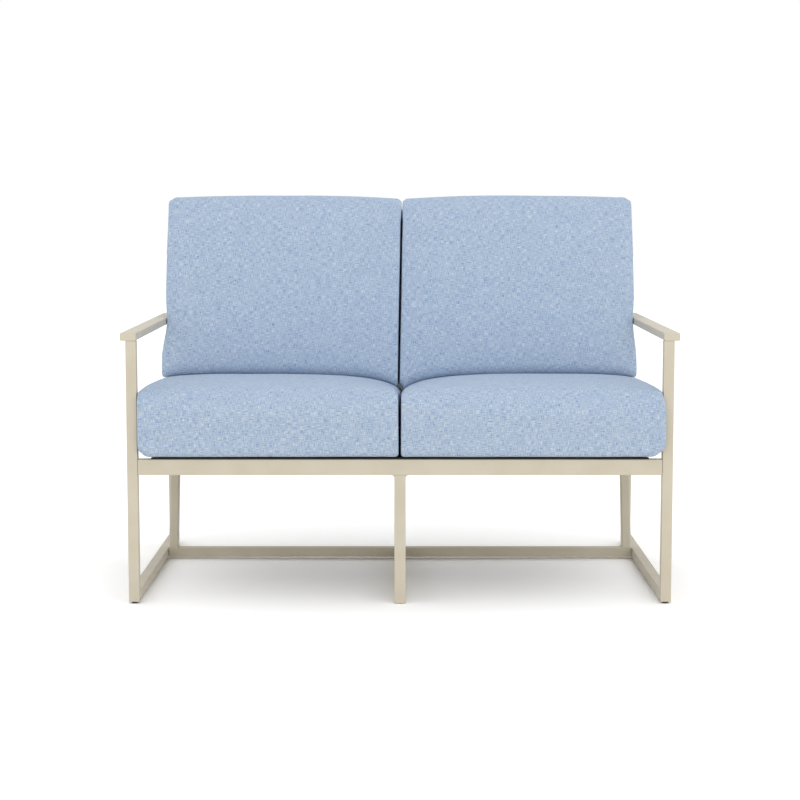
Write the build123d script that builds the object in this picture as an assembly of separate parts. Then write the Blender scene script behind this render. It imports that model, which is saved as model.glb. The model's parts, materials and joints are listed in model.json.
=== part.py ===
from build123d import *
from math import cos, radians, sin, tan
import os

# Patio loveseat in millimetres. X runs to the right as seen from the front, Y from the
# front to the back, Z up. The model is drawn with the front faces of the front posts at
# Y 0 and is centred over its own footprint at the end.

# Side loops
seat_opening = 1270.0
post_size = 25.4
post_wall = 2.0
post_corner = 1.5
loop_behind_foot = 259.3
foot_gap = 5.0
arm_width = 38.1
arm_thickness = 19.0
arm_wall = 2.0
arm_edge = 3.0
arm_end_plate = 2.5
arm_top = 661.0
arm_joint_gap = 0.6

# Seat frame
seat_frame_top = 354.3
front_rail_height = 38.1
front_rail_depth = 25.4
rail_joint_gap = 0.9
end_plate = 4.0
rear_seat_rail_depth = 50.8
seat_rail_size = 25.4
seat_rail_inset = 31.0

# Centre sled
centre_leg_size = 27.4
centre_leg_depth = 25.4
centre_foot_gap = 1.6
weld_leg = 8.0

# Raked back frame
back_rake = 15.0
back_foot_set_in = 82.3
back_side_gap = 1.0
back_tube = 25.4
back_tube_corner = 4.0
cross_rail_height = 26.4
cross_rail_corner = 8.0
back_height = 930.1
slat_width = 38.1
slat_thickness = 6.35
slat_edge = 1.5
slats_per_side = 4

# Glides
glide_head_diameter = 14.0
glide_head_set_forward = 3.0
glide_plug_length = 16.0
glide_clearance = 0.15

# Bolts, washers and rivet nuts
bolt_diameter = 6.0
bolt_head_diameter = 11.0
bolt_head_height = 3.0
bolt_grip_past_tube = 8.0
bolt_clearance = 0.15
tool_clearance = 0.75
socket_across = 4.0
socket_depth = 1.8
washer_diameter = 16.0
rivet_nut_diameter = 9.0
rivet_nut_length = 11.0
rail_bolt_spacing = 20.0

# Sling deck
sling_thickness = 1.4
sling_gap = 2.0
sling_edge_inset = 5.0
clamp_thickness = 2.0
clamp_width = 13.0
clamp_corner = 0.6
clamp_end_gap = 1.0
clamp_pitch = 148.0
clamp_screw_end = 22.0
screw_diameter = 3.5
screw_head_diameter = 7.0
screw_head_height = 0.9
screw_length = 9.0
screw_clearance = 0.15
screw_seat_gap = 0.1

# Cushions
cushion_side_gap = 1.0
cushion_middle_gap = 1.5
cushion_rest_gap = 0.7
wrap = 16.0
seat_overhang = 16.0
seat_depth = 684.0
seat_thickness = 155.0
seat_crown = 11.0
seat_low_round = 20.0
seat_high_round = 24.0
seat_corner = 24.0
seat_front_bow = 4.0
seat_side_draw = 3.0
back_thickness = 150.0
back_crown = 22.0
back_low_round = 20.0
back_high_round = 26.0
back_corner = 34.0
back_over_rail = 30.0
back_top_bow = 12.0
back_side_draw = 4.0
swell = 2.0
zip_length = 520.0
zip_height = 9.0
zip_thickness = 4.0

# A cushion's crown: how far in it rises, how high it is half way, and step counts
dome_reach_share = 0.62
crown_half_share = 0.75
profile_steps = 24
settle_rounds = 3

# Cuts run past the solid by this much
overrun = 5.0

# Worked out from the sizes above
half_opening = seat_opening / 2
post_middle = half_opening + post_size / 2
arm_bottom = arm_top - arm_thickness
post_top = arm_bottom - arm_joint_gap
rail_bottom = seat_frame_top - front_rail_height
rail_half = half_opening - rail_joint_gap
back_half = half_opening - back_side_gap
back_inner = back_half - back_tube
cross_rail_top = foot_gap + cross_rail_height
rake_slope = tan(radians(back_rake))
seat_rail_outer = half_opening - seat_rail_inset
seat_front_y = -seat_overhang
seat_rear_y = seat_depth - seat_overhang
back_foot_y = seat_rear_y - back_foot_set_in
loop_depth = back_foot_y + loop_behind_foot
rear_rail_back = back_foot_y + (seat_frame_top - cross_rail_top) * rake_slope + back_tube
rear_rail_front = rear_rail_back - rear_seat_rail_depth
clamp_top = seat_frame_top + sling_thickness + clamp_thickness
screw_top = clamp_top + screw_seat_gap + screw_head_height
cushion_floor = screw_top + cushion_rest_gap
back_top_height = back_height + back_over_rail
cushion_half_width = (half_opening - cushion_side_gap - cushion_middle_gap / 2) / 2
cushion_centre_x = cushion_middle_gap / 2 + cushion_half_width
sides = {"left": -1, "right": 1}

# The raked plane of the back: local x along X, y up the slope, z towards the sitter
back_plane = Plane(
    origin=(0, back_foot_y, cross_rail_top),
    x_dir=(1, 0, 0),
    z_dir=(0, -cos(radians(back_rake)), sin(radians(back_rake))),
)
nodes = {}


def block(x_pair, y_pair, z_pair):
    """A box between two values on each axis."""
    pairs = (x_pair, y_pair, z_pair)
    middle = Pos(*[(low + high) / 2 for low, high in pairs])
    return middle * Box(*[abs(high - low) for low, high in pairs])


def push(plane, sketch, length):
    """A sketch laid on a plane and pushed along the plane's normal."""
    return extrude(plane * sketch, amount=length, dir=plane.z_dir)


def tube(plane, length, width, height, wall, corner):
    """A box section tube that starts on a plane and runs along its normal."""
    ring = RectangleRounded(width, height, corner)
    ring -= Rectangle(width - 2 * wall, height - 2 * wall)
    return push(plane, ring, length)


def upright_tube(x, y, low, high, width, depth, corner=post_corner):
    """A tube that stands on end, centred at x and y."""
    return tube(Plane((x, y, low)), high - low, width, depth, post_wall, corner)


def cross_tube(x_low, x_high, y, z, depth, height, corner=post_corner):
    """A tube along X, centred at y and z."""
    plane = Plane((x_low, y, z), x_dir=(0, 1, 0), z_dir=(1, 0, 0))
    return tube(plane, x_high - x_low, depth, height, post_wall, corner)


def long_tube(x, y_low, y_high, z, width, height, wall=post_wall, corner=post_corner):
    """A tube along Y, centred at x and z."""
    plane = Plane((x, y_low, z), x_dir=(1, 0, 0), z_dir=(0, 1, 0))
    return tube(plane, y_high - y_low, width, height, wall, corner)


def rod_x(x_from, x_to, y, z, diameter):
    """A round bar along X."""
    facing = 1 if x_to > x_from else -1
    plane = Plane((x_from, y, z), x_dir=(0, 1, 0), z_dir=(facing, 0, 0))
    return push(plane, Circle(diameter / 2), abs(x_to - x_from))


def rod_z(x, y, low, high, diameter):
    """A round bar along Z."""
    return push(Plane((x, y, low)), Circle(diameter / 2), high - low)


def group(pieces):
    """Separate solids that share one node."""
    return Compound([solid for piece in pieces for solid in piece.solids()])


def frame_bolt(head_x, tip_x, y, z):
    """A button head bolt along X with a hexagon socket, its head outside head_x."""
    facing = 1 if tip_x > head_x else -1
    face_x = head_x - facing * bolt_head_height
    head = rod_x(face_x, head_x, y, z, bolt_head_diameter)
    head = fillet(head.edges().group_by(Axis.X)[0 if facing > 0 else -1], bolt_head_height / 2)
    plane = Plane((face_x, y, z), x_dir=(0, 1, 0), z_dir=(facing, 0, 0))
    socket = push(plane, RegularPolygon(socket_across / 2, 6, major_radius=False), socket_depth)
    return head + rod_x(head_x, tip_x, y, z, bolt_diameter) - socket


def bolt_hole(head_x, tip_x, y, z):
    """The clearance hole of a frame bolt."""
    facing = 1 if tip_x > head_x else -1
    reach = facing * overrun
    return rod_x(head_x - reach, tip_x + reach, y, z, bolt_diameter + 2 * bolt_clearance)


def loop_bolt_holes(sign, y, z):
    """A bolt's hole in a loop tube's inner wall, and the tool hole in its outer wall."""
    tool_hole = rod_x(sign * post_middle, sign * (half_opening + post_size + overrun), y, z,
                      bolt_head_diameter + 2 * tool_clearance)
    return tool_hole + bolt_hole(sign * (half_opening + post_wall), sign * half_opening, y, z)


def weld_bead(corner_x, facing, corner_z, rising, y_low, y_high):
    """A concave weld in the inner corner of two tubes, seen from the front."""
    outline = Rectangle(weld_leg, weld_leg) - Pos(weld_leg / 2, weld_leg / 2) * Circle(weld_leg)
    front = Plane((corner_x + facing * weld_leg / 2, y_low, corner_z + rising * weld_leg / 2),
                  x_dir=(1, 0, 0), z_dir=(0, -1, 0))
    turn = {(1, 1): 0, (-1, 1): 90, (-1, -1): 180, (1, -1): 270}[(facing, rising)]
    return push(front, Rot(0, 0, turn) * outline, y_low - y_high)


def side_loop(side, sign):
    """The posts, floor runner and armrest of one side."""
    x = sign * post_middle
    front_y = post_size / 2
    rear_y = loop_depth - post_size / 2
    rail_z = seat_frame_top - front_rail_height / 2
    post = upright_tube(x, front_y, foot_gap, post_top, post_size, post_size)
    for offset in (-rail_bolt_spacing / 2, rail_bolt_spacing / 2):
        post -= loop_bolt_holes(sign, front_rail_depth / 2, rail_z + offset)
    nodes[side + "_front_post"] = post
    nodes[side + "_rear_post"] = upright_tube(x, rear_y, foot_gap, post_top, post_size, post_size)

    runner = long_tube(x, post_size, loop_depth - post_size, foot_gap + post_size / 2,
                       post_size, post_size)
    cross_y = back_foot_y + back_tube / 2
    cross_z = foot_gap + cross_rail_height / 2
    nodes[side + "_floor_runner"] = runner - loop_bolt_holes(sign, cross_y, cross_z)

    arm_x = sign * (half_opening + arm_width / 2)
    arm_z = arm_top - arm_thickness / 2
    arm = long_tube(arm_x, arm_end_plate, loop_depth - arm_end_plate, arm_z,
                    arm_width, arm_thickness, arm_wall, arm_edge)
    nut_y = arm_bolt_y()
    arm -= rod_x(sign * (half_opening - overrun), sign * (half_opening + arm_wall + overrun),
                 nut_y, arm_z, rivet_nut_diameter + 2 * bolt_clearance)
    nodes[side + "_armrest"] = arm


def arm_bolt_y():
    """Where the middle of the raked upright passes the armrest."""
    middle = arm_top - arm_thickness / 2
    return (back_foot_y + (middle - cross_rail_top) * rake_slope
            + back_tube / 2 / cos(radians(back_rake)))


def arm_end_plates():
    """The flat plates that close both ends of both armrests."""
    plates = []
    for sign in sides.values():
        for start in (0, loop_depth - arm_end_plate):
            plane = Plane((sign * (half_opening + arm_width / 2), start,
                           arm_top - arm_thickness / 2), x_dir=(1, 0, 0), z_dir=(0, 1, 0))
            outline = RectangleRounded(arm_width, arm_thickness, arm_edge)
            plates.append(push(plane, outline, arm_end_plate))
    return group(plates)


def front_rail():
    """The rail between the front posts."""
    return cross_tube(-rail_half, rail_half, front_rail_depth / 2,
                      seat_frame_top - front_rail_height / 2, front_rail_depth, front_rail_height)


def rail_end_plates():
    """Threaded plates welded inside the ends of the front rail and the rear floor rail."""
    plates = []
    rail_z = seat_frame_top - front_rail_height / 2
    cross_z = foot_gap + cross_rail_height / 2
    cross_y = back_foot_y + back_tube / 2
    for sign in sides.values():
        plate = block((sign * rail_half, sign * (rail_half - end_plate)),
                      (post_wall, front_rail_depth - post_wall),
                      (rail_bottom + post_wall, seat_frame_top - post_wall))
        for offset in (-rail_bolt_spacing / 2, rail_bolt_spacing / 2):
            plate -= bolt_hole(sign * rail_half, sign * (rail_half - end_plate),
                               front_rail_depth / 2, rail_z + offset)
        plates.append(plate)
        plate = block((sign * back_half, sign * (back_half - end_plate)),
                      (back_foot_y + post_wall, back_foot_y + back_tube - post_wall),
                      (foot_gap + cross_rail_corner, cross_rail_top - post_wall))
        plates.append(plate - bolt_hole(sign * back_half, sign * (back_half - end_plate),
                                        cross_y, cross_z))
    return group(plates)


def cross_rail():
    """The rear floor rail: a tube with its outer lower corners rounded off."""
    middle_z = foot_gap + cross_rail_height / 2
    rail = cross_tube(-back_half, back_half, back_foot_y + back_tube / 2, middle_z,
                      back_tube, cross_rail_height)
    front = Plane((0, back_foot_y, middle_z), x_dir=(1, 0, 0), z_dir=(0, -1, 0))
    outline = Rectangle(2 * back_half, cross_rail_height)
    outline = fillet(outline.vertices().group_by(Axis.Y)[0], cross_rail_corner)
    return rail & push(front, outline, -back_tube)


def back_member(x, low, high, width, thickness, wall, corner):
    """A tube up the raked back plane with its front face in that plane."""
    start = Plane(back_plane * Pos(x, low, -thickness / 2) * Rot(-90, 0, 0))
    ring = RectangleRounded(width, thickness, corner)
    if wall:
        ring -= Rectangle(width - 2 * wall, thickness - 2 * wall)
    return push(start, ring, high - low)


def back_upright(sign):
    """One raked upright, cut level where it stands on the rear floor rail."""
    x = sign * (back_half - back_tube / 2)
    leg = back_member(x, -back_tube, back_height - back_tube, back_tube, back_tube,
                      post_wall, back_tube_corner)
    leg -= block((x - back_tube, x + back_tube),
                 (back_foot_y - 2 * back_tube, back_foot_y + 2 * back_tube),
                 (-back_tube, cross_rail_top))
    arm_z = arm_top - arm_thickness / 2
    hole = bolt_hole(sign * back_inner, sign * back_half, arm_bolt_y(), arm_z)
    return leg - hole


def back_slat(x):
    """One flat slat between the rear seat rail and the top rail."""
    low = (seat_frame_top - cross_rail_top) / cos(radians(back_rake))
    slat = back_member(x, low - slat_width, back_height - back_tube, slat_width,
                       slat_thickness, 0, slat_edge)
    return slat - under_seat_level(x)


def under_seat_level(x):
    """Everything near the back below the top of the rear seat rail."""
    return block((x - slat_width, x + slat_width),
                 (back_foot_y, back_foot_y + loop_depth),
                 (0, seat_frame_top))


def centre_back_post():
    """The upright between the two backs."""
    low = (seat_frame_top - cross_rail_top) / cos(radians(back_rake))
    post = back_member(0, low - back_tube, back_height - back_tube, back_tube,
                       back_tube, post_wall, back_tube_corner)
    return post - under_seat_level(0)


def back_top_rail():
    """The top rail over the uprights, with rounded upper corners."""
    middle = back_plane * Pos(0, back_height - back_tube / 2, -back_tube / 2)
    along = Plane(middle * Rot(0, 90, 0))
    ring = RectangleRounded(back_tube, back_tube, back_tube_corner)
    ring -= Rectangle(back_tube - 2 * post_wall, back_tube - 2 * post_wall)
    rail = extrude(along * ring, amount=back_half, both=True)
    outline = Rectangle(2 * back_half, back_tube)
    outline = fillet(outline.vertices().group_by(Axis.Y)[-1], cross_rail_corner)
    place = Plane(back_plane * Pos(0, back_height - back_tube / 2, -back_tube))
    return rail & push(place, outline, back_tube)


def top_rail_plugs():
    """Plugs that close the ends of the top rail."""
    plugs = []
    inner = back_tube - 2 * post_wall - 2 * glide_clearance
    for sign in sides.values():
        shape = Box(glide_plug_length, inner, inner)
        shape -= Pos(0, inner / 2, 0) * Box(glide_plug_length, cross_rail_corner, inner)
        reach = sign * (back_half - glide_plug_length / 2 - post_wall)
        plugs.append(back_plane * Pos(reach, back_height - back_tube / 2, -back_tube / 2) * shape)
    return group(plugs)


def glide(x, y, gap, width, depth):
    """A plug pressed up into a leg, with the round foot that stands on the floor."""
    inner_x = width / 2 - post_wall - glide_clearance
    inner_y = depth / 2 - post_wall - glide_clearance
    plug = block((x - inner_x, x + inner_x), (y - inner_y, y + inner_y),
                 (gap, gap + glide_plug_length))
    foot = rod_z(x, y - glide_head_set_forward, 0, gap, glide_head_diameter)
    foot = chamfer(foot.edges().group_by(Axis.Z)[0], centre_foot_gap / 2)
    return plug + foot


def clamp_bar(x_pair, y_pair, screws):
    """A flat bar on the sling, drilled for its screws."""
    low = seat_frame_top + sling_thickness
    bar = block(x_pair, y_pair, (low, low + clamp_thickness))
    bar = fillet(bar.edges().filter_by(Axis.Z), clamp_corner)
    for x, y in screws:
        bar -= screw_hole(x, y)
    return bar


def screw_hole(x, y):
    """The hole of a clamp screw through bar, sling and rail wall."""
    diameter = screw_diameter + 2 * screw_clearance
    return rod_z(x, y, clamp_top - screw_length - overrun, clamp_top + overrun, diameter)


def clamp_screw(x, y):
    """A pan head screw through bar and sling into the rail."""
    seat = clamp_top + screw_seat_gap
    head = rod_z(x, y, seat, screw_top, screw_head_diameter)
    head = chamfer(head.edges().group_by(Axis.Z)[-1], screw_head_height / 2)
    return head + rod_z(x, y, seat - screw_length, seat, screw_diameter)


def spread(low, high, pitch):
    """Evenly spaced places from low to high, about pitch apart."""
    steps = max(1, round((high - low) / pitch))
    return [low + (high - low) * step / steps for step in range(steps + 1)]


def sling_deck():
    """The mesh slings, their clamp bars and screws, and the rails drilled for them."""
    bar_x = seat_rail_outer - clamp_end_gap
    front_y = front_rail_depth - sling_edge_inset - clamp_width / 2
    rear_y = rear_rail_front + sling_edge_inset + clamp_width / 2
    side_low = front_y + clamp_width / 2 + clamp_end_gap
    side_high = rear_y - clamp_width / 2 - clamp_end_gap
    across = spread(clamp_screw_end, bar_x - clamp_screw_end, clamp_pitch)
    across = [sign * x for sign in sides.values() for x in across]
    along = spread(side_low + clamp_screw_end, side_high - clamp_screw_end, clamp_pitch)
    bar_places = {
        "front_clamp_bar": ((-bar_x, bar_x), front_y, [(x, front_y) for x in across]),
        "rear_clamp_bar": ((-bar_x, bar_x), rear_y, [(x, rear_y) for x in across]),
    }
    screws = []
    for name, (x_pair, y, places) in bar_places.items():
        y_pair = (y - clamp_width / 2, y + clamp_width / 2)
        nodes[name] = clamp_bar(x_pair, y_pair, places)
        screws += places
    side_x = seat_rail_outer - seat_rail_size / 2
    for name, x in (("left_clamp_bar", -side_x), ("centre_clamp_bar", 0), ("right_clamp_bar", side_x)):
        places = [(x, y) for y in along]
        x_pair = (x - clamp_width / 2, x + clamp_width / 2)
        nodes[name] = clamp_bar(x_pair, (side_low, side_high), places)
        screws += places
    nodes["clamp_screws"] = group(clamp_screw(x, y) for x, y in screws)

    y_pair = (front_y - clamp_width / 2, rear_y + clamp_width / 2)
    z_pair = (seat_frame_top, seat_frame_top + sling_thickness)
    for side, sign in sides.items():
        sling = block((sign * sling_gap / 2, sign * bar_x), y_pair, z_pair)
        nodes[side + "_seat_sling"] = drilled(sling, screws)
    for name in ("front_rail", "rear_seat_rail", "centre_seat_rail",
                 "left_seat_rail", "right_seat_rail"):
        nodes[name] = drilled(nodes[name], screws)


def drilled(shape, screws):
    """A shape with the holes of the screws that pass through it."""
    box = shape.bounding_box()
    reach = screw_diameter
    for x, y in screws:
        if (box.min.X - reach < x < box.max.X + reach
                and box.min.Y - reach < y < box.max.Y + reach):
            shape -= screw_hole(x, y)
    return shape


def seat_rails():
    """The rails that carry the deck behind the front rail."""
    middle_z = seat_frame_top - seat_rail_size / 2
    nodes["rear_seat_rail"] = cross_tube(-back_inner, back_inner,
                                         rear_rail_front + rear_seat_rail_depth / 2, middle_z,
                                         rear_seat_rail_depth, seat_rail_size)
    side_x = seat_rail_outer - seat_rail_size / 2
    for name, x in (("left", -side_x), ("centre", 0), ("right", side_x)):
        nodes[name + "_seat_rail"] = long_tube(x, front_rail_depth, rear_rail_front, middle_z,
                                               seat_rail_size, seat_rail_size)


def centre_sled():
    """The centre leg, its floor runner and the weld beads of the frame."""
    leg_y = centre_leg_depth / 2
    nodes["centre_leg"] = upright_tube(0, leg_y, centre_foot_gap, rail_bottom,
                                       centre_leg_size, centre_leg_depth)
    nodes["centre_floor_runner"] = long_tube(0, centre_leg_depth, back_foot_y,
                                             foot_gap + post_size / 2, post_size, post_size)
    beads = []
    for sign in sides.values():
        beads.append(weld_bead(sign * centre_leg_size / 2, sign, rail_bottom, -1,
                               post_corner, centre_leg_depth - post_corner))
        beads.append(weld_bead(sign * back_inner, -sign, cross_rail_top, 1,
                               back_foot_y + back_tube_corner,
                               back_foot_y + back_tube - back_tube_corner))
    nodes["frame_weld_beads"] = group(beads)


def fasteners():
    """The frame bolts, the washers beside the back frame and the arm's rivet nuts."""
    bolts = []
    washers = []
    nuts = []
    rail_z = seat_frame_top - front_rail_height / 2
    cross_y = back_foot_y + back_tube / 2
    cross_z = foot_gap + cross_rail_height / 2
    arm_z = arm_top - arm_thickness / 2
    head_x = half_opening + post_wall
    hole = bolt_diameter + 2 * bolt_clearance
    for sign in sides.values():
        for offset in (-rail_bolt_spacing / 2, rail_bolt_spacing / 2):
            bolts.append(frame_bolt(sign * head_x, sign * (half_opening - bolt_grip_past_tube),
                                    front_rail_depth / 2, rail_z + offset))
        bolts.append(frame_bolt(sign * head_x, sign * (half_opening - bolt_grip_past_tube),
                                cross_y, cross_z))
        bolts.append(frame_bolt(sign * back_inner, sign * (half_opening + bolt_grip_past_tube),
                                arm_bolt_y(), arm_z))
        for y, z in ((cross_y, cross_z), (arm_bolt_y(), arm_z)):
            washer = rod_x(sign * back_half, sign * half_opening, y, z, washer_diameter)
            washers.append(washer - rod_x(sign * back_half, sign * half_opening, y, z, hole))
        nut = rod_x(sign * half_opening, sign * (half_opening + rivet_nut_length),
                    arm_bolt_y(), arm_z, rivet_nut_diameter)
        nuts.append(nut - bolt_hole(sign * half_opening,
                                    sign * (half_opening + rivet_nut_length),
                                    arm_bolt_y(), arm_z))
    nodes["frame_bolts"] = group(bolts)
    nodes["spacer_washers"] = group(washers)
    nodes["arm_rivet_nuts"] = group(nuts)


def cushion_profile(thickness, crown, low_round, high_round, half_span):
    """Pairs of inset and height, evenly spaced from the flat underside up over the crown."""
    high_start = thickness - high_round
    reach = high_round + dome_reach_share * half_span
    line = Wire([
        CenterArc((low_round, low_round), low_round, 270, -90),
        ThreePointArc((0, low_round), (-swell, (low_round + high_start) / 2), (0, high_start)),
        CenterArc((high_round, high_start), high_round, 180, -90),
        ThreePointArc((high_round, thickness),
                      ((high_round + reach) / 2, thickness + crown_half_share * crown),
                      (reach, thickness + crown)),
    ])
    places = [line.length * step / profile_steps for step in range(profile_steps + 1)]
    points = [line.position_at(place, PositionMode.LENGTH) for place in places]
    return [(point.X, point.Y) for point in points]


def bowed(start, end, bow):
    """A side from start to end that bows out to its right, or draws in where bow is negative."""
    middle = (start + end) / 2
    out = (end - start).normalized().rotate(Axis.Z, -90)
    if bow:
        return ThreePointArc(start, middle + out * bow, end)
    return Line(start, end)


def cushion_outline(width, height, corner, low_bow, side_bow, high_bow):
    """A four sided outline with bowed or drawn-in sides and round corners."""
    x = width / 2
    y = height / 2
    corners = [Vector(-x, -y), Vector(x, -y), Vector(x, y), Vector(-x, y)]
    bows = (low_bow, side_bow, high_bow, side_bow)
    edges = [bowed(corners[place], corners[(place + 1) % 4], bow)
             for place, bow in enumerate(bows)]
    sketch = make_face(edges)
    return fillet(sketch.vertices(), corner)


def seat_cushion(sign):
    """A seat cushion's form and the foam core inside it."""
    width = 2 * (cushion_half_width - swell)
    depth = seat_depth - 2 * swell - seat_front_bow
    centre_y = seat_front_y + seat_front_bow + swell + depth / 2
    profile = cushion_profile(seat_thickness, seat_crown, seat_low_round, seat_high_round,
                              width / 2)
    sections = []
    for inset, height in profile:
        outline = cushion_outline(width - 2 * inset, depth - 2 * inset, seat_corner,
                                  seat_front_bow, -seat_side_draw, 0)
        sections.append(Pos(sign * cushion_centre_x, centre_y, cushion_floor + height) * outline)
    middle = sign * cushion_centre_x
    core = block((middle - width / 2 + wrap, middle + width / 2 - wrap),
                 (centre_y - depth / 2 + wrap, centre_y + depth / 2 - wrap),
                 (cushion_floor + wrap, cushion_floor + seat_thickness - wrap))
    return loft(sections), core


def back_cushion(sign):
    """A back cushion's form in the raked plane, its underside level with the seat."""
    width = 2 * (cushion_half_width - swell)
    top = back_top_height - back_top_bow - swell
    middle = sign * cushion_centre_x
    profile = cushion_profile(back_thickness, back_crown, back_low_round, back_high_round,
                              (top - back_underside(0)) / 2)
    sections = []
    for inset, height in profile:
        lift = cushion_rest_gap + height
        low = back_underside(lift) + inset
        high = top - inset
        outline = cushion_outline(width - 2 * inset, high - low, back_corner,
                                  0, -back_side_draw, back_top_bow)
        sections.append(back_plane * Pos(middle, (low + high) / 2, lift) * outline)
    blanks = []
    for lift in (wrap, back_thickness - wrap):
        low = back_underside(lift) + wrap
        high = top - wrap
        blank = Rectangle(width - 2 * wrap, high - low)
        blanks.append(back_plane * Pos(middle, (low + high) / 2, lift) * blank)
    return loft(sections), loft(blanks, ruled=True)


def back_underside(lift):
    """The place up the slope where the underside is level, at this distance from the frame."""
    level = (back_rest_level() - cross_rail_top) / cos(radians(back_rake))
    return level - lift * rake_slope + swell


def back_rest_level():
    """The lowest level of the back cushions, just clear of the seat cushions' crown."""
    lift = cushion_rest_gap + back_thickness - back_high_round
    reach = dome_reach_share * (cushion_half_width - swell)
    level = cushion_floor + seat_thickness
    for _ in range(settle_rounds):
        y = back_foot_y + (level - cross_rail_top) * rake_slope - lift / cos(radians(back_rake))
        share = (seat_rear_y - swell - seat_high_round - y) / reach
        rise = seat_crown * (1 - (1 - min(max(share, 0), 1)) ** 2)
        level = cushion_floor + seat_thickness + rise + cushion_rest_gap
    return level - swell * cos(radians(back_rake))


def add_cushion(name, form, core, zip_box):
    """A cover with its zip and the foam core inside it."""
    cover = form - core
    nodes[name + "_zip"] = cover & zip_box
    nodes[name + "_cover"] = cover - zip_box
    nodes[name + "_core"] = core


def cushions():
    """The two seat cushions and the two back cushions."""
    rest = back_rest_level()
    under_y = (back_foot_y + (rest - cross_rail_top) * rake_slope
               - back_thickness / 2 / cos(radians(back_rake)))
    zip_z = cushion_floor + seat_thickness / 2
    for side, sign in sides.items():
        middle = sign * cushion_centre_x
        x_pair = (middle - zip_length / 2, middle + zip_length / 2)
        seat_zip = block(x_pair, (seat_rear_y - zip_thickness, seat_rear_y + overrun),
                         (zip_z - zip_height / 2, zip_z + zip_height / 2))
        back_zip = block(x_pair, (under_y - zip_height / 2, under_y + zip_height / 2),
                         (rest - overrun, rest + zip_thickness))
        add_cushion(side + "_seat_cushion", *seat_cushion(sign), seat_zip)
        add_cushion(side + "_back_cushion", *back_cushion(sign), back_zip)


def glides():
    """The five glides under the legs."""
    rows = {"front": post_size / 2, "rear": loop_depth - post_size / 2}
    for side, sign in sides.items():
        for row, y in rows.items():
            nodes[side + "_" + row + "_glide"] = glide(sign * post_middle, y, foot_gap,
                                                       post_size, post_size)
    nodes["centre_glide"] = glide(0, centre_leg_depth / 2, centre_foot_gap,
                                  centre_leg_size, centre_leg_depth)


def back_frame():
    """The raked frame that the back cushions lean on."""
    nodes["rear_cross_rail"] = cross_rail()
    for side, sign in sides.items():
        nodes[side + "_back_upright"] = back_upright(sign)
    nodes["centre_back_post"] = centre_back_post()
    nodes["back_top_rail"] = back_top_rail()
    nodes["top_rail_plugs"] = top_rail_plugs()
    span = back_inner - back_tube / 2
    pitch = span / (slats_per_side + 1)
    for side, sign in sides.items():
        for number in range(1, slats_per_side + 1):
            x = sign * (back_tube / 2 + number * pitch)
            nodes[f"{side}_back_slat_{number}"] = back_slat(x)


for side_name, side_sign in sides.items():
    side_loop(side_name, side_sign)
nodes["armrest_end_plates"] = arm_end_plates()
nodes["front_rail"] = front_rail()
nodes["rail_end_plates"] = rail_end_plates()
seat_rails()
sling_deck()
centre_sled()
back_frame()
glides()
fasteners()
cushions()

boxes = [shape.bounding_box() for shape in nodes.values()]
front_reach = min(box.min.Y for box in boxes)
rear_reach = max(box.max.Y for box in boxes)
centre_y = (front_reach + rear_reach) / 2
print("nodes", len(nodes), "moved forward by", round(centre_y, 4))
print("back cushions rest at", round(back_rest_level(), 3))

os.makedirs("parts", exist_ok=True)
for node_name, shape in nodes.items():
    export_step(Pos(0, -centre_y, 0) * shape, f"parts/{node_name}.step")
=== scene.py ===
"""A patio loveseat: a sand-coloured tube frame with four loose cushions in heathered blue cloth."""

import json
import logging
import math
from dataclasses import dataclass, field
from enum import Enum
from typing import Any, ClassVar, Optional, Sequence, Union

import bmesh
import bpy
import numpy as np
from mathutils import Matrix, Vector, noise
from mathutils.bvhtree import BVHTree

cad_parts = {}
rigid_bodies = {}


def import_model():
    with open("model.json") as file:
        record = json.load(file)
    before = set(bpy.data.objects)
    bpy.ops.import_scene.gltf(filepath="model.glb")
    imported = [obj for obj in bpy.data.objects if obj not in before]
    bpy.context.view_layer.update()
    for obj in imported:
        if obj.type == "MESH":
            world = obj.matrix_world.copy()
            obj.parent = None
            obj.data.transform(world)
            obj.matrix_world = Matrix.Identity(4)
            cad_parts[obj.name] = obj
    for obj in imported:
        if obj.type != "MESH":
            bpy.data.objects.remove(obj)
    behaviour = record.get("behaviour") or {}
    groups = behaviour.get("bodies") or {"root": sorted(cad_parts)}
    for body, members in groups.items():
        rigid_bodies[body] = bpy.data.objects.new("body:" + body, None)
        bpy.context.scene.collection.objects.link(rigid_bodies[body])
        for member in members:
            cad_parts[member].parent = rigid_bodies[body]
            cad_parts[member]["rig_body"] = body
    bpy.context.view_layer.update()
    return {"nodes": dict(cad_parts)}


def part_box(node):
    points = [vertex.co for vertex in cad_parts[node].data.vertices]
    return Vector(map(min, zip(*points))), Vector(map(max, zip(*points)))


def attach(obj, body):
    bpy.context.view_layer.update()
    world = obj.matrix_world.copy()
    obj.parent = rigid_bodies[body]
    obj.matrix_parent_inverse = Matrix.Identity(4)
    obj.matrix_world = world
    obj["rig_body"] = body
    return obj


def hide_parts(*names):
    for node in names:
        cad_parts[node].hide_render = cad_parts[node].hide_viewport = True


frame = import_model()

log = logging.getLogger("loveseat")

Colour = tuple[float, float, float, float]
Span = tuple[float, float]
Triple = tuple[float, float, float]


def srgb(red: int, green: int, blue: int) -> Colour:
    """Turns a colour as a screen shows it, 0 to 255, into the linear values that shaders take.

    Args:
        red: The red part.
        green: The green part.
        blue: The blue part.

    Returns:
        The linear colour with an alpha of 1.
    """
    parts = [value / 255 for value in (red, green, blue)]
    linear = [part / 12.92 if part <= 0.04045 else ((part + 0.055) / 1.055) ** 2.4 for part in parts]
    return (*linear, 1.0)


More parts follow.
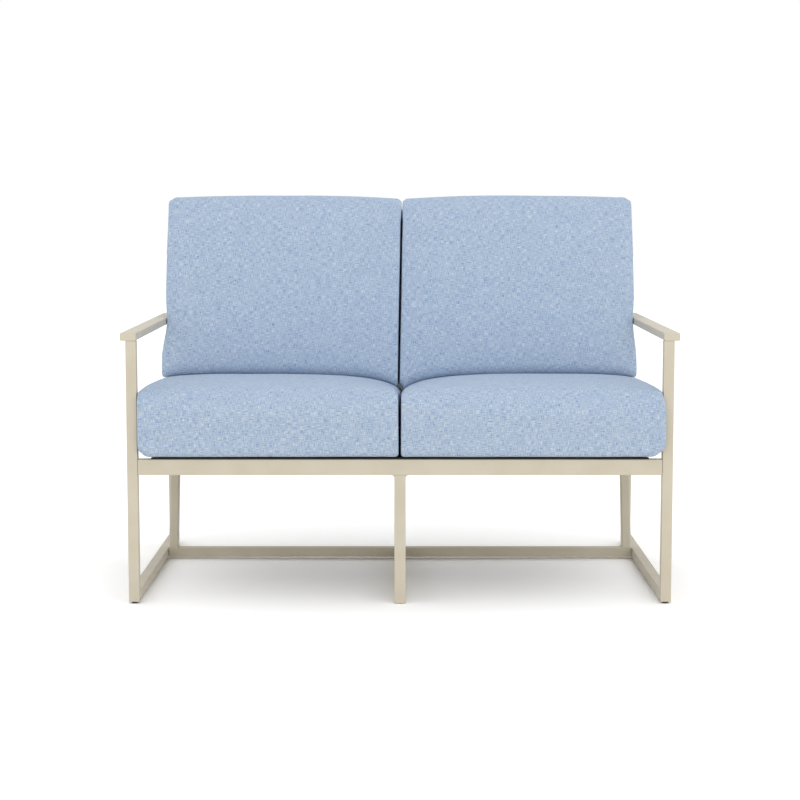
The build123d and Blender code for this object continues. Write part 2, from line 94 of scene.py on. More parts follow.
def eased(values: np.ndarray, start: float, stop: float) -> np.ndarray:
    """Goes smoothly from 0 where values are at start to 1 where they are at stop.

    Args:
        values: The numbers to ease.
        start: Where the rise starts.
        stop: Where the rise ends, above or below start.

    Returns:
        The eased share for each value.
    """
    share = np.clip((values - start) / (stop - start), 0, 1)
    return share * share * (3 - 2 * share)


def pressed(values: np.ndarray, limit: float, softness: float, side: int) -> np.ndarray:
    """Presses values against a flat limit, so that none passes it and the surface stays smooth.

    Args:
        values: Coordinates along one axis.
        limit: The plane that they rest against.
        softness: How far from the plane the surface starts to give.
        side: 1 where values stay below the limit, -1 where they stay above it.

    Returns:
        The pressed coordinates.
    """
    over = side * values - (side * limit - softness)
    given = softness * (1 - np.exp(-np.maximum(over, 0) / softness))
    return np.where(over > 0, side * (side * limit - softness + given), values)


class Side(Enum):
    """The two halves of the seat, as seen from the front."""

    LEFT = -1
    RIGHT = 1

    @property
    def word(self) -> str:
        """The side's word in node and body names."""
        return self.name.lower()


class Link:
    """An output of a material's node, with the arithmetic of Math nodes."""

    def __init__(self, shader: "Shader", socket: bpy.types.NodeSocket) -> None:
        """Wraps a socket.

        Args:
            shader: The shader that the socket's node is in.
            socket: The output socket.
        """
        self.shader = shader
        self.socket = socket

    def math(self, operation: str, *terms: "Term") -> "Link":
        """Adds a Math node over the given terms."""
        return self.shader.node("ShaderNodeMath", {"operation": operation}, dict(enumerate(terms)))

    def __add__(self, other: "Term") -> "Link":
        """Adds."""
        return self.math("ADD", self, other)

    def __sub__(self, other: "Term") -> "Link":
        """Subtracts."""
        return self.math("SUBTRACT", self, other)

    def __mul__(self, other: "Term") -> "Link":
        """Multiplies."""
        return self.math("MULTIPLY", self, other)

    def sine(self) -> "Link":
        """The sine of the value."""
        return self.math("SINE", self)

    def ramp(self, low: float, high: float) -> "Link":
        """Rises smoothly from 0 at low to 1 at high."""
        return self.shader.node("ShaderNodeMapRange", {"interpolation_type": "SMOOTHSTEP"},
                                {"Value": self, "From Min": low, "From Max": high})


Term = Union[int, float, Link]


class Shader:
    """A material with one Principled surface, built node by node."""

    def __init__(self, name: str) -> None:
        """Starts an empty material.

        Args:
            name: The material's name.
        """
        self.material = bpy.data.materials.new(name)
        self.material.use_nodes = True
        self.nodes = self.material.node_tree.nodes
        self.links = self.material.node_tree.links
        self.nodes.clear()
        self.surface = self.nodes.new("ShaderNodeBsdfPrincipled")
        output = self.nodes.new("ShaderNodeOutputMaterial")
        self.links.new(self.surface.outputs["BSDF"], output.inputs["Surface"])

    def node(self, kind: str, settings: Optional[dict[str, Any]] = None,
             inputs: Optional[dict[Any, Any]] = None, output: Union[int, str] = 0) -> Link:
        """Adds a node.

        Args:
            kind: The node's type.
            settings: The node's own settings, set first.
            inputs: Values or links for its sockets, by name or place.
            output: The output to hand back.

        Returns:
            The wanted output.
        """
        made = self.nodes.new(kind)
        for name, value in (settings or {}).items():
            setattr(made, name, value)
        for name, value in (inputs or {}).items():
            self.feed(made.inputs[name], value)
        return Link(self, made.outputs[output])

    def feed(self, socket: bpy.types.NodeSocket, value: Any) -> None:
        """Links an output to a socket, or sets the socket's own value."""
        if isinstance(value, Link):
            self.links.new(value.socket, socket)
        else:
            socket.default_value = value

    def set(self, **values: Any) -> None:
        """Feeds the surface's sockets, with _ for a space in their names."""
        for name, value in values.items():
            self.feed(self.surface.inputs[name.replace("_", " ")], value)

    def place(self, kind: str = "Object") -> Link:
        """Where on the piece a point is, in metres."""
        return self.node("ShaderNodeTexCoord", output=kind)

    def speckle(self, place: Link, across: Sequence[float], detail: float = 1.0) -> Link:
        """A soft random pattern from 0 to 1.

        Args:
            place: The coordinates that it lies on.
            across: The size of its features along each axis, in metres.
            detail: How many finer layers it has.

        Returns:
            The pattern's value.
        """
        finer = [1 / size for size in across]
        scaled = self.node("ShaderNodeVectorMath", {"operation": "MULTIPLY"}, {0: place, 1: finer})
        return self.node("ShaderNodeTexNoise", {"noise_dimensions": "3D"},
                         {"Vector": scaled, "Scale": 1.0, "Detail": detail, "Roughness": 0.55})

    def mixed(self, share: Term, first: Any, second: Any) -> Link:
        """A colour between two others."""
        return self.node("ShaderNodeMix", {"data_type": "RGBA"}, {0: share, 6: first, 7: second}, 2)

    def waves(self, place: Link, axis: str, pitch: float) -> Link:
        """A sine wave from -1 to 1 that repeats along one axis of a place.

        Args:
            place: The coordinates.
            axis: X, Y or Z.
            pitch: The length of one wave, in metres.

        Returns:
            The wave's value.
        """
        along = self.node("ShaderNodeSeparateXYZ", {}, {0: place}, axis)
        return (along * (2 * math.pi / pitch)).sine()

    def relief(self, height: Link, depth: float) -> None:
        """Raises the surface by a height from 0 to 1, over a depth in metres."""
        bump = self.node("ShaderNodeBump", {}, {"Height": height, "Distance": depth, "Strength": 1.0})
        self.feed(self.surface.inputs["Normal"], bump)


@dataclass(frozen=True)
class PowderCoat:
    """Matte powder coat with the fine pebbled skin of baked powder."""

    name: str = "sand_powder_coat"
    colour: Colour = srgb(202, 195, 178)
    shade: Colour = srgb(196, 188, 170)
    pebble: float = 0.0011
    drift: float = 0.09
    pebble_share: float = 0.3
    mottling: Span = (0.35, 0.65)
    roughness: float = 0.5
    pebble_roughness: float = 0.14
    drift_roughness: float = 0.08
    gloss: float = 0.4
    relief: float = 0.00009

    def material(self) -> bpy.types.Material:
        """Builds the finish."""
        shader = Shader(self.name)
        place = shader.place()
        pebbles = shader.speckle(place, (self.pebble,) * 3)
        drift = shader.speckle(place, (self.drift,) * 3, 2.0)
        tone = drift * (1 - self.pebble_share) + pebbles * self.pebble_share
        least = self.roughness - (self.pebble_roughness + self.drift_roughness) / 2
        shader.set(Base_Color=shader.mixed(tone.ramp(*self.mottling), self.shade, self.colour),
                   Roughness=pebbles * self.pebble_roughness + (drift * self.drift_roughness + least),
                   Specular_IOR_Level=self.gloss)
        shader.relief(pebbles, self.relief)
        return shader.material


@dataclass(frozen=True)
class HeatherCloth:
    """Woven outdoor cloth of blue and off-white yarns with uneven, slubby threads, with painted shade
    in the hollows between the threads.
    """

    name: str = "heather_blue_cloth"
    deep: Colour = srgb(108, 139, 186)
    middle: Colour = srgb(172, 190, 212)
    pale: Colour = srgb(214, 223, 234)
    # painted shade: the dark blue mixed in where the threads dip between crossings
    hollow: Colour = (0.1, 0.14, 0.22, 1.0)
    thread: float = 0.0012
    slub_length: float = 0.015
    slub_width: float = 0.0013
    cloud: float = 0.05
    weft_weight: float = 1.1
    warp_weight: float = 0.95
    cloud_weight: float = 0.1
    fleck_weight: float = 0.25
    balance: float = 0.7
    deep_span: Span = (0.18, 0.5)
    pale_span: Span = (0.52, 0.8)
    # how deep into the dips the painted shade reaches, and how strongly it is mixed in
    hollow_span: Span = (-1.1, 0.2)
    hollow_share: float = 0.16
    thread_height: float = 0.25
    slub_height: float = 0.5
    roughness: float = 0.86
    fleck_roughness: float = 0.1
    gloss: float = 0.2
    sheen: float = 0.09
    sheen_roughness: float = 0.5
    relief: float = 0.0005

    def tone(self, place: Link, fleck: Link) -> Link:
        """How pale the yarns are: slubs along both threads, soft clouds and flecks.

        Args:
            place: The coordinates on the cloth.
            fleck: The pattern of the flecks.

        Returns:
            The tone, mostly from 0 to 1.
        """
        shader = place.shader
        weft = shader.speckle(place, (self.slub_length, self.slub_width, 1.0), 2.0)
        warp = shader.speckle(place, (self.slub_width, self.slub_length, 1.0), 2.0)
        cloud = shader.speckle(place, (self.cloud, self.cloud, 1.0))
        slubs = weft * self.weft_weight + warp * self.warp_weight
        return slubs + cloud * self.cloud_weight + fleck * self.fleck_weight - self.balance

    def material(self) -> bpy.types.Material:
        """Builds the finish."""
        shader = Shader(self.name)
        place = shader.place("UV")
        fleck = shader.speckle(place, (self.slub_width, self.slub_width, 1.0))
        tone = self.tone(place, fleck)
        pale = shader.mixed(tone.ramp(*self.pale_span), self.middle, self.pale)
        colour = shader.mixed(tone.ramp(*self.deep_span), self.deep, pale)
        # The hollows between crossing threads get painted shade: the dark blue is mixed into the yarn
        # colour where the weave dips.
        over = shader.waves(place, "X", self.thread) * shader.waves(place, "Y", self.thread)
        raised = over.ramp(*self.hollow_span) * self.hollow_share + (1 - self.hollow_share)
        shader.set(Base_Color=shader.mixed(raised, self.hollow, colour),
                   Roughness=fleck * self.fleck_roughness + self.roughness,
                   Specular_IOR_Level=self.gloss, Sheen_Weight=self.sheen,
                   Sheen_Roughness=self.sheen_roughness)
        height = over * self.thread_height + tone * self.slub_height + self.thread_height
        shader.relief(height, self.relief)
        return shader.material


@dataclass(frozen=True)
class DeckMesh:
    """Coated black mesh cloth of a seat deck, lighter where its strands stand high, in random
    patches.
    """

    name: str = "black_deck_mesh"
    colour: Colour = srgb(30, 30, 32)
    worn: Colour = srgb(46, 46, 48)
    pitch: float = 0.0028
    drift: float = 0.03
    roughness: float = 0.5
    drift_roughness: float = 0.2
    relief: float = 0.0006

    def material(self) -> bpy.types.Material:
        """Builds the finish."""
        shader = Shader(self.name)
        place = shader.place()
        across, along = (shader.waves(place, axis, self.pitch) for axis in "XY")
        holes = across * 0.25 + along * 0.25 + 0.5
        drift = shader.speckle(place, (self.drift,) * 3, 2.0)
        # Lighter where the strands stand high and darker in the holes, patchy at random.
        shader.set(Base_Color=shader.mixed(holes * drift, self.colour, self.worn),
                   Roughness=drift * self.drift_roughness + self.roughness)
        shader.relief(holes, self.relief)
        return shader.material


@dataclass(frozen=True)
class Moulded:
    """Plastic from a mould, with a faint grain."""

    name: str
    colour: Colour
    shade: Colour
    roughness: float = 0.45
    grain: float = 0.0009
    grain_roughness: float = 0.2
    drift: float = 0.012
    relief: float = 0.00006

    def material(self) -> bpy.types.Material:
        """Builds the finish."""
        shader = Shader(self.name)
        place = shader.place()
        grain = shader.speckle(place, (self.grain,) * 3)
        drift = shader.speckle(place, (self.drift,) * 3, 2.0)
        least = self.roughness - self.grain_roughness / 2
        shader.set(Base_Color=shader.mixed(drift, self.shade, self.colour),
                   Roughness=grain * self.grain_roughness + least)
        shader.relief(grain, self.relief)
        return shader.material


@dataclass(frozen=True)
class Steel:
    """Stainless steel with fine turning marks."""

    name: str = "stainless_steel"
    colour: Colour = srgb(196, 196, 194)
    shade: Colour = srgb(160, 160, 160)
    mark: Triple = (0.004, 0.0003, 0.0003)
    roughness: float = 0.25
    mark_roughness: float = 0.2
    relief: float = 0.00003

    def material(self) -> bpy.types.Material:
        """Builds the finish."""
        shader = Shader(self.name)
        marks = shader.speckle(shader.place(), self.mark, 2.0)
        shader.set(Base_Color=shader.mixed(marks, self.shade, self.colour), Metallic=1.0,
                   Roughness=marks * self.mark_roughness + self.roughness)
        shader.relief(marks, self.relief)
        return shader.material


@dataclass(frozen=True)
class Tape:
    """Woven tape that a zip's teeth are sewn to."""

    name: str = "zip_tape_cloth"
    colour: Colour = srgb(104, 128, 162)
    shade: Colour = srgb(78, 100, 134)
    rib: float = 0.0008
    drift: float = 0.004
    roughness: float = 0.8
    drift_roughness: float = 0.1
    relief: float = 0.0002

    def material(self) -> bpy.types.Material:
        """Builds the finish."""
        shader = Shader(self.name)
        place = shader.place()
        ribs = shader.waves(place, "X", self.rib) * 0.5 + 0.5
        drift = shader.speckle(place, (self.drift,) * 3, 2.0)
        shader.set(Base_Color=shader.mixed(ribs * 0.5 + drift * 0.5, self.shade, self.colour),
                   Roughness=drift * self.drift_roughness + self.roughness)
        shader.relief(ribs, self.relief)
        return shader.material


def coat(piece: bpy.types.Object, material: bpy.types.Material) -> None:
    """Gives a piece one material all over."""
    piece.data.materials.clear()
    piece.data.materials.append(material)


def smooth(piece: bpy.types.Object) -> None:
    """Shades all of a piece's faces smooth."""
    for face in piece.data.polygons:
        face.use_smooth = True


def placed(name: str, data: bpy.types.ID) -> bpy.types.Object:
    """Makes an object of a mesh, lamp or camera and puts it in the scene."""
    made = bpy.data.objects.new(name, data)
    bpy.context.scene.collection.objects.link(made)
    return made


def piece_of(mesh: bmesh.types.BMesh, name: str) -> bpy.types.Object:
    """Makes a finished bmesh an object at the origin.

    Args:
        mesh: The bmesh, freed here.
        name: The piece's name.

    Returns:
        The new object.
    """
    data = bpy.data.meshes.new(name)
    mesh.to_mesh(data)
    mesh.free()
    return placed(name, data)


def skin_of(piece: bpy.types.Object) -> BVHTree:
    """A piece's surface as it shows, to measure against."""
    return BVHTree.FromObject(piece, bpy.context.evaluated_depsgraph_get())


def points_of(data: bpy.types.Mesh) -> np.ndarray:
    """Reads a mesh's points as rows of three."""
    flat = np.empty(len(data.vertices) * 3)
    data.vertices.foreach_get("co", flat)
    return flat.reshape(-1, 3)


def put_points(data: bpy.types.Mesh, points: np.ndarray) -> None:
    """Writes rows of three back to a mesh."""
    data.vertices.foreach_set("co", points.reshape(-1))
    data.update()


def gridded_box(size: Sequence[float], cell: float) -> bmesh.types.BMesh:
    """A box round the origin, cut into near-square cells.

    Args:
        size: Its length along each axis.
        cell: The side of a cell.

    Returns:
        The bmesh.
    """
    mesh = bmesh.new()
    bmesh.ops.create_cube(mesh, size=1.0)
    bmesh.ops.scale(mesh, vec=Vector(size), verts=mesh.verts)
    for axis, length in enumerate(size):
        edges = [edge for edge in mesh.edges
                 if abs(edge.verts[0].co[axis] - edge.verts[1].co[axis]) > length / 2]
        bmesh.ops.subdivide_edges(mesh, edges=edges, cuts=round(length / cell) - 1,
                                  use_grid_fill=True)
    return mesh


def gathered(points: np.ndarray, half: np.ndarray, share: float) -> np.ndarray:
    """Draws a box's grid lines towards its edges, where the form turns.

    Args:
        points: The box's points.
        half: Half its length along each axis.
        share: How much closer the lines are at the edges, from 0 to 1.

    Returns:
        The moved points, still on the box.
    """
    place = points / half
    return half * (place + share * np.sin(math.pi * place) / math.pi)


def reach(moves: np.ndarray, most: Union[float, np.ndarray]) -> np.ndarray:
    """Shortens each row of three to at most a length."""
    length = np.linalg.norm(moves, axis=1, keepdims=True)
    return moves * np.minimum(1, most / np.maximum(length, 1e-9))


def rounded(points: np.ndarray, half: np.ndarray, edge: float, rolls: Triple) -> np.ndarray:
    """Rounds a box round the origin, wider along the edges that run across the seat.

    Args:
        points: The box's points.
        half: Half its length along each axis.
        edge: The radius of the edges at the box's two ends.
        rolls: The radius of the edges that run across the seat, on the low side, at the high
            side's ends and in its middle.

    Returns:
        The rounded points.
    """
    inner = 1 - (points[:, 0] / half[0]) ** 4
    roll = np.where(points[:, 2] < 0, rolls[0], rolls[1] + inner * (rolls[2] - rolls[1]))[:, None]
    flat = points.copy()
    flat[:, 1:] = np.clip(points[:, 1:], roll - half[1:], half[1:] - roll)
    ring = flat + reach(points - flat, roll - edge)
    ring[:, 0] = np.clip(points[:, 0], edge - half[0], half[0] - edge)
    return ring + reach(points - ring, edge)


def cornered(points: np.ndarray, half: np.ndarray, upright: int,
             radii: Sequence[float]) -> np.ndarray:
    """Rounds the corners of a box's outline, as it is seen from the front.

    Args:
        points: The box's points.
        half: Half its length along each axis.
        upright: The axis that goes up in that view.
        radii: The radius of the low and the high corner at the seat's middle, then at its
            outer side.

    Returns:
        The moved points.
    """
    pair = [0, upright]
    seen = points[:, pair]
    turn = (seen > 0) @ np.array([2, 1])
    radius = np.array(radii)[turn][:, None]
    past = np.maximum(np.abs(seen) - (half[pair] - radius), 0)
    length = np.maximum(np.linalg.norm(past, axis=1, keepdims=True), 1e-9)
    kept = past * past.max(axis=1, keepdims=True) / length
    moved = points.copy()
    moved[:, pair] -= np.sign(seen) * (past - kept)
    return moved


@dataclass
class Inflation:
    """Air pressure in a cloth skin, which swells a form as its filling does."""

    pressure: float = 4.0
    frames: int = 20
    share: float = 0.1
    most: float = 0.0022
    quality: int = 6

    def swell(self, piece: bpy.types.Object) -> np.ndarray:
        """Runs the cloth and reads how far each point moved.

        Args:
            piece: The closed form, which is left as it was.

        Returns:
            The moves, shortened to what a tight cover on firm foam allows.
        """
        still = points_of(piece.data)
        cloth = piece.modifiers.new("filling", "CLOTH")
        cloth.settings.quality = self.quality
        cloth.settings.use_pressure = True
        cloth.settings.uniform_pressure_force = self.pressure
        cloth.settings.effector_weights.gravity = 0
        cloth.collision_settings.use_collision = False
        scene = bpy.context.scene
        for step in range(1, self.frames + 1):
            scene.frame_set(step)
        shown = piece.evaluated_get(bpy.context.evaluated_depsgraph_get())
        moves = points_of(shown.data) - still
        piece.modifiers.remove(cloth)
        scene.frame_set(1)
        return reach(moves * self.share, self.most)


@dataclass
class Cushion:
    """A loose cushion of the seat, filled tight under a woven cover.

    Its own axes run across the seat, towards the back or up the back, and out of its face.
    """

    side: Side
    cloth: bpy.types.Material
    part: ClassVar[str]
    blank: ClassVar[Triple]
    upright: ClassVar[int]
    wrap: ClassVar[int]
    corners: ClassVar[tuple[float, ...]]
    rolls: ClassVar[Triple]
    inner: ClassVar[float]
    outer: ClassVar[float]
    zip_line: ClassVar[float]
    zip_at: ClassVar[Span]
    zip_turn: ClassVar[float]
    swells: ClassVar[dict[str, np.ndarray]] = {}
    edge: float = 0.005
    cell: float = 0.0068
    gather: float = 0.45
    swell_across: float = 0.1
    lump: float = 0.001
    lump_pitch: float = 7.0
    lump_seed: Triple = (7.3, 1.9, 4.1)
    near_span: Span = (0.01, 0.3)
    cover_edge: float = 0.006
    weave_shift: Span = (1.7, 3.1)
    zip_middle: float = 0.3185
    zip_groove: float = 0.0055
    groove_length: Span = (0.278, 0.264)
    groove_width: Span = (0.018, 0.012)

    @property
    def name(self) -> str:
        """The cushion's name, which is also its body's."""
        return f"{self.side.word}_{self.part}_cushion"

    def settle(self, points: np.ndarray) -> np.ndarray:
        """Puts the swollen form in its place on the seat."""
        raise NotImplementedError

    def turn(self) -> Matrix:
        """The turn from the cushion's own axes to the seat's."""
        return Matrix.Identity(3)

    def form(self) -> bpy.types.Object:
        """Makes the cover's form, swollen and settled."""
        half = np.array(self.blank) / 2
        piece = piece_of(gridded_box(self.blank, self.cell), self.name)
        points = gathered(points_of(piece.data), half, self.gather)
        points = rounded(points, half, self.edge, self.rolls)
        points = cornered(points, half, self.upright, self.corners)
        put_points(piece.data, points)
        if self.part not in self.swells:
            self.swells[self.part] = Inflation().swell(piece)
        moves = self.swells[self.part] * (self.swell_across, 1, 1)
        put_points(piece.data, self.settle(self.lumped(points + moves)))
        return piece

    def near(self, x: np.ndarray) -> np.ndarray:
        """How close points are to the seat's middle line: 1 on it, 0 well away from it."""
        return 1 - eased(np.abs(x), *self.near_span)

    def drifted(self, place: np.ndarray, amount: np.ndarray) -> np.ndarray:
        """Shifts the side at the seat's middle, where the two neighbours press on each other."""
        moved = place.copy()
        moved[:, 0] += amount * self.near(place[:, 0])
        return moved

    def grooved(self, x: np.ndarray, across: np.ndarray) -> np.ndarray:
        """Where the zip lies sunk in the cover.

        Args:
            x: The coordinate along the zip.
            across: The coordinate across it.

        Returns:
            The share of the groove's depth at each point.
        """
        middle = (self.inner + self.outer) / 2
        along = eased(np.abs(np.abs(x) - middle), *self.groove_length)
        return along * eased(np.abs(across - self.zip_line), *self.groove_width)

    def zip_place(self) -> Matrix:
        """The zip's middle and turn, its third axis pointing away from the cover."""
        middle = Matrix.Translation((self.side.value * self.zip_middle, *self.zip_at))
        return middle @ Matrix.Rotation(-self.zip_turn, 4, "X")

    def lumped(self, points: np.ndarray) -> np.ndarray:
        """Gives the filling a slight unevenness, different in each cushion."""
        seed = Vector(self.lump_seed) * self.side.value
        moved = points.copy()
        for place, point in enumerate(points):
            spot = Vector(point) * self.lump_pitch + seed
            moved[place] += self.lump * np.array(noise.noise_vector(spot))
        return moved

    def lay_weave(self, data: bpy.types.Mesh) -> None:
        """Gives each face the threads' place on it, in metres, as if the cover were unrolled."""
        turn = np.array(self.turn())
        local = points_of(data) @ turn
        inward = self.wrap * local[:, 3 - self.upright]
        depth = np.maximum(inward - inward.min() - self.cover_edge, 0)
        upright = local[:, self.upright]
        middle = (upright.min() + upright.max()) / 2
        totals = np.empty(len(data.polygons), int)
        data.polygons.foreach_get("loop_total", totals)
        corners = np.empty(len(data.loops), int)
        data.loops.foreach_get("vertex_index", corners)
        faces = np.empty((2, len(data.polygons) * 3))
        data.polygons.foreach_get("normal", faces[0])
        data.polygons.foreach_get("center", faces[1])
        normals, centres = (rows.reshape(-1, 3) @ turn for rows in faces)
        ends = np.repeat(np.abs(normals).argmax(axis=1) == 0, totals)
        over = np.repeat(np.where(centres[:, self.upright] > middle, 1, -1), totals)
        wrapped = np.stack([local[corners, 0], upright[corners] + over * depth[corners]], axis=1)
        flat = np.where(ends[:, None], local[corners, 1:], wrapped)
        flat += self.weave_shift[0] * self.side.value + self.weave_shift[1] * len(self.part)
        data.uv_layers.new(name="weave").data.foreach_set("uv", flat.reshape(-1))

    def make(self) -> bpy.types.Object:
        """Builds and dresses the cushion.

        Returns:
            The cover.
        """
        cover = self.form()
        self.lay_weave(cover.data)
        smooth(cover)
        finer = cover.modifiers.new("finer", "SUBSURF")
        finer.levels = finer.render_levels = 1
        coat(cover, self.cloth)
        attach(cover, self.name)
        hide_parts(f"{self.name}_cover", f"{self.name}_core")
        log.info("%s: %d faces", self.name, len(cover.data.polygons))
        return cover


@dataclass
class SeatCushion(Cushion):
    """A seat cushion, flat underneath and crowned on top."""

    part: ClassVar[str] = "seat"
    blank: ClassVar[Triple] = (0.632, 0.684, 0.155)
    upright: ClassVar[int] = 2
    wrap: ClassVar[int] = 1
    corners: ClassVar[tuple[float, ...]] = (0.006, 0.016, 0.030, 0.005)
    rolls: ClassVar[Triple] = (0.014, 0.030, 0.060)
    inner: ClassVar[float] = 0.0026
    outer: ClassVar[float] = 0.6342
    front: ClassVar[float] = -0.4332
    rear: ClassVar[float] = 0.2510
    zip_line: ClassVar[float] = 0.4369
    zip_at: ClassVar[Span] = (rear, zip_line)
    zip_turn: ClassVar[float] = math.pi / 2
    floor: float = 0.3597
    sunk: float = 0.002
    give: float = 0.003
    front_height: float = 0.5235
    rear_height: float = 0.4965
    crown: float = 0.0175
    side_crown: float = 0.007
    crown_start: float = 0.3
    dome_powers: Span = (2.4, 4.0)
    dome_fall: float = 3.0
    valley: float = 0.027
    valley_width: float = 0.06
    valley_span: Span = (0.1, 0.75)
    rail_face: float = -0.4170
    flare: float = 0.0075
    flare_depth: float = 0.008
    flare_start: float = 0.3
    flare_foot: float = 0.04
    flare_top: Span = (0.47, 0.52)
    groove_start: float = 0.9
    lean: float = 0.009
    lean_span: Span = (0.7, 0.96)
    shift: float = 0.0008

    def settle(self, points: np.ndarray) -> np.ndarray:
        """Puts the swollen form on the deck, between the posts."""
        low, high = points.min(axis=0), points.max(axis=0)
        share = (points - low) / (high - low)
        x = self.inner + share[:, 0] * (self.outer - self.inner)
        y = self.front + share[:, 1] * (self.rear - self.front)
        height = self.front_height + share[:, 1] * (self.rear_height - self.front_height)
        z = self.floor - self.sunk + share[:, 2] * (height - self.floor + self.sunk)
        z += self.rise(x, share[:, 1]) * eased(share[:, 2], self.crown_start, 1)
        z = pressed(z, self.floor, self.give, -1)
        if self.side is Side.RIGHT:
            x += self.bulge(x, y, z)
        groove = self.grooved(x, z) * eased(share[:, 1], self.groove_start, 1)
        y -= self.zip_groove * groove
        place = np.stack([x * self.side.value, y, z], axis=1)
        return self.drifted(place, self.lean * eased(share[:, 1], *self.lean_span) - self.shift)

    def bulge(self, x: np.ndarray, y: np.ndarray, z: np.ndarray) -> np.ndarray:
        """How far the front of the outer side swells past the post."""
        beyond = eased(y, self.rail_face, self.rail_face - self.flare_depth)
        height = eased(z, self.floor, self.floor + self.flare_foot) * (1 - eased(z, *self.flare_top))
        return self.flare * beyond * eased(x, self.flare_start, self.outer) * height

    def rise(self, x: np.ndarray, back: np.ndarray) -> np.ndarray:
        """How far the top stands above its edges.

        Args:
            x: The distance from the seat's middle line.
            back: The share of the way from the front to the rear.

        Returns:
            The crown, less the dip at the seat's middle where the back cushions press.
        """
        half = (self.outer - self.inner) / 2
        across = np.clip((x - self.inner - half) / half, -1, 1)
        along = np.abs(2 * back - 1)
        power = np.where(across < 0, *self.dome_powers)
        side = np.where(across < 0, 0, self.side_crown)
        dome = side + (self.crown - side) * (1 - np.abs(across) ** power)
        dip = np.exp(-(x - self.inner) / self.valley_width) * eased(back, *self.valley_span)
        return dome * (1 - along ** self.dome_fall) - self.valley * dip


